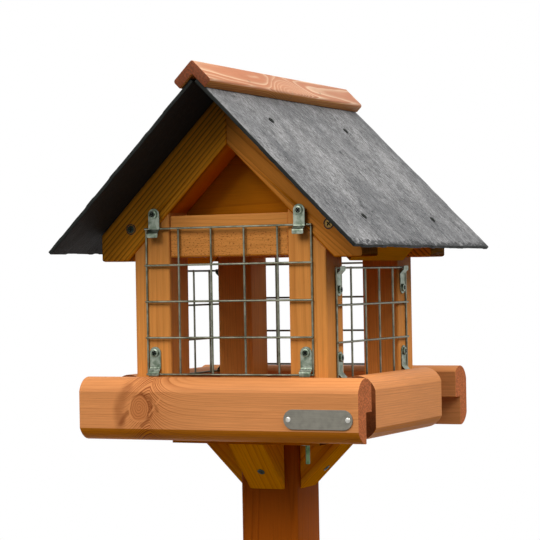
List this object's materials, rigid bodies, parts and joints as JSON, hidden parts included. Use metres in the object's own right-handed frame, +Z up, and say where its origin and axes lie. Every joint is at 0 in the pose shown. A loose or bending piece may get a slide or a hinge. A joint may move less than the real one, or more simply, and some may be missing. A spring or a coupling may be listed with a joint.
{
  "type": "bird table",
  "caption": "Slate-roofed bird table with wire-guarded feeding house on a railed tray, timber post and crossed foot; turning clips release the guards.",
  "frame": {"origin": "on the ground under the support post's centre, at the bottom centre of the bounding box", "axes": "+Z up along the post; -Y is the front, the side with the name plate; +X is the right as seen from the front, and the ridge runs along Y"},
  "size_m": [0.62, 0.62, 1.5724],
  "materials": {
    "timber": "honey-brown stained planed softwood",
    "cap_timber": "pale stained softwood with strong growth rings",
    "dark_timber": "red-brown stained softwood",
    "slate": "riven roofing slate with dressed edges",
    "zinc": "bright zinc-plated steel",
    "wire": "dull galvanised wire",
    "aluminium": "satin anodised, blank"
  },
  "bodies": {
    "table": {"bearer_across": "dark_timber", "bearer_fore_aft": "dark_timber", "support_post": "dark_timber", "head_plate": "timber", "tray_floor": "timber", "front_tray_bolt": "zinc", "front_tee_nut": "zinc", "back_tray_bolt": "zinc", "back_tee_nut": "zinc", "right_rail": "timber", "right_guard": "wire", "right_head_brace": "timber", "right_foot_brace": "dark_timber", "back_rail": "timber", "back_guard": "wire", "back_head_brace": "timber", "back_foot_brace": "dark_timber", "left_rail": "timber", "left_guard": "wire", "left_head_brace": "timber", "left_foot_brace": "dark_timber", "front_rail": "timber", "front_guard": "wire", "front_head_brace": "timber", "front_foot_brace": "dark_timber", "front_left_post": "timber", "front_left_rafter": "timber", "front_right_post": "timber", "front_right_rafter": "timber", "front_header": "timber", "front_gable": "timber", "back_left_post": "timber", "back_left_rafter": "timber", "back_right_post": "timber", "back_right_rafter": "timber", "back_header": "timber", "back_gable": "timber", "left_purlin": "timber", "left_slate": "slate", "right_purlin": "timber", "right_slate": "slate", "ridge_cap": "cap_timber", "name_plate": "aluminium"},
    "right_top_left_clip": {"right_top_left_clip": "zinc"},
    "right_top_right_clip": {"right_top_right_clip": "zinc"},
    "right_bottom_left_clip": {"right_bottom_left_clip": "zinc"},
    "right_bottom_right_clip": {"right_bottom_right_clip": "zinc"},
    "back_top_left_clip": {"back_top_left_clip": "zinc"},
    "back_top_right_clip": {"back_top_right_clip": "zinc"},
    "back_bottom_left_clip": {"back_bottom_left_clip": "zinc"},
    "back_bottom_right_clip": {"back_bottom_right_clip": "zinc"},
    "left_top_left_clip": {"left_top_left_clip": "zinc"},
    "left_top_right_clip": {"left_top_right_clip": "zinc"},
    "left_bottom_left_clip": {"left_bottom_left_clip": "zinc"},
    "left_bottom_right_clip": {"left_bottom_right_clip": "zinc"},
    "front_top_left_clip": {"front_top_left_clip": "zinc"},
    "front_top_right_clip": {"front_top_right_clip": "zinc"},
    "front_bottom_left_clip": {"front_bottom_left_clip": "zinc"},
    "front_bottom_right_clip": {"front_bottom_right_clip": "zinc"}
  },
  "joints": [
    {"name": "right_top_left_turn", "type": "hinge", "parent": "table", "child": "right_top_left_clip", "pos_m": [0.116, -0.0914, 1.3281], "axis": [-1, 0, 0], "range_deg": [0, 110]},
    {"name": "right_top_right_turn", "type": "hinge", "parent": "table", "child": "right_top_right_clip", "pos_m": [0.116, 0.0914, 1.3281], "axis": [1, 0, 0], "range_deg": [0, 110]},
    {"name": "right_bottom_left_turn", "type": "hinge", "parent": "table", "child": "right_bottom_left_clip", "pos_m": [0.116, -0.0914, 1.2549], "axis": [1, 0, 0], "range_deg": [0, 110]},
    {"name": "right_bottom_right_turn", "type": "hinge", "parent": "table", "child": "right_bottom_right_clip", "pos_m": [0.116, 0.0914, 1.2549], "axis": [-1, 0, 0], "range_deg": [0, 110]},
    {"name": "back_top_left_turn", "type": "hinge", "parent": "table", "child": "back_top_left_clip", "pos_m": [0.088, 0.123, 1.4137], "axis": [0, 1, 0], "continuous": true},
    {"name": "back_top_right_turn", "type": "hinge", "parent": "table", "child": "back_top_right_clip", "pos_m": [-0.088, 0.123, 1.4137], "axis": [0, -1, 0], "continuous": true},
    {"name": "back_bottom_left_turn", "type": "hinge", "parent": "table", "child": "back_bottom_left_clip", "pos_m": [0.0914, 0.123, 1.2614], "axis": [0, 1, 0], "range_deg": [0, 110]},
    {"name": "back_bottom_right_turn", "type": "hinge", "parent": "table", "child": "back_bottom_right_clip", "pos_m": [-0.0914, 0.123, 1.2614], "axis": [0, -1, 0], "range_deg": [0, 110]},
    {"name": "left_top_left_turn", "type": "hinge", "parent": "table", "child": "left_top_left_clip", "pos_m": [-0.116, 0.0914, 1.3281], "axis": [1, 0, 0], "range_deg": [0, 110]},
    {"name": "left_top_right_turn", "type": "hinge", "parent": "table", "child": "left_top_right_clip", "pos_m": [-0.116, -0.0914, 1.3281], "axis": [-1, 0, 0], "range_deg": [0, 110]},
    {"name": "left_bottom_left_turn", "type": "hinge", "parent": "table", "child": "left_bottom_left_clip", "pos_m": [-0.116, 0.0914, 1.2549], "axis": [-1, 0, 0], "range_deg": [0, 110]},
    {"name": "left_bottom_right_turn", "type": "hinge", "parent": "table", "child": "left_bottom_right_clip", "pos_m": [-0.116, -0.0914, 1.2549], "axis": [1, 0, 0], "range_deg": [0, 110]},
    {"name": "front_top_left_turn", "type": "hinge", "parent": "table", "child": "front_top_left_clip", "pos_m": [-0.088, -0.123, 1.4137], "axis": [0, -1, 0], "continuous": true},
    {"name": "front_top_right_turn", "type": "hinge", "parent": "table", "child": "front_top_right_clip", "pos_m": [0.088, -0.123, 1.4137], "axis": [0, 1, 0], "continuous": true},
    {"name": "front_bottom_left_turn", "type": "hinge", "parent": "table", "child": "front_bottom_left_clip", "pos_m": [-0.0914, -0.123, 1.2614], "axis": [0, -1, 0], "range_deg": [0, 110]},
    {"name": "front_bottom_right_turn", "type": "hinge", "parent": "table", "child": "front_bottom_right_clip", "pos_m": [0.0914, -0.123, 1.2614], "axis": [0, 1, 0], "range_deg": [0, 110]}
  ]
}
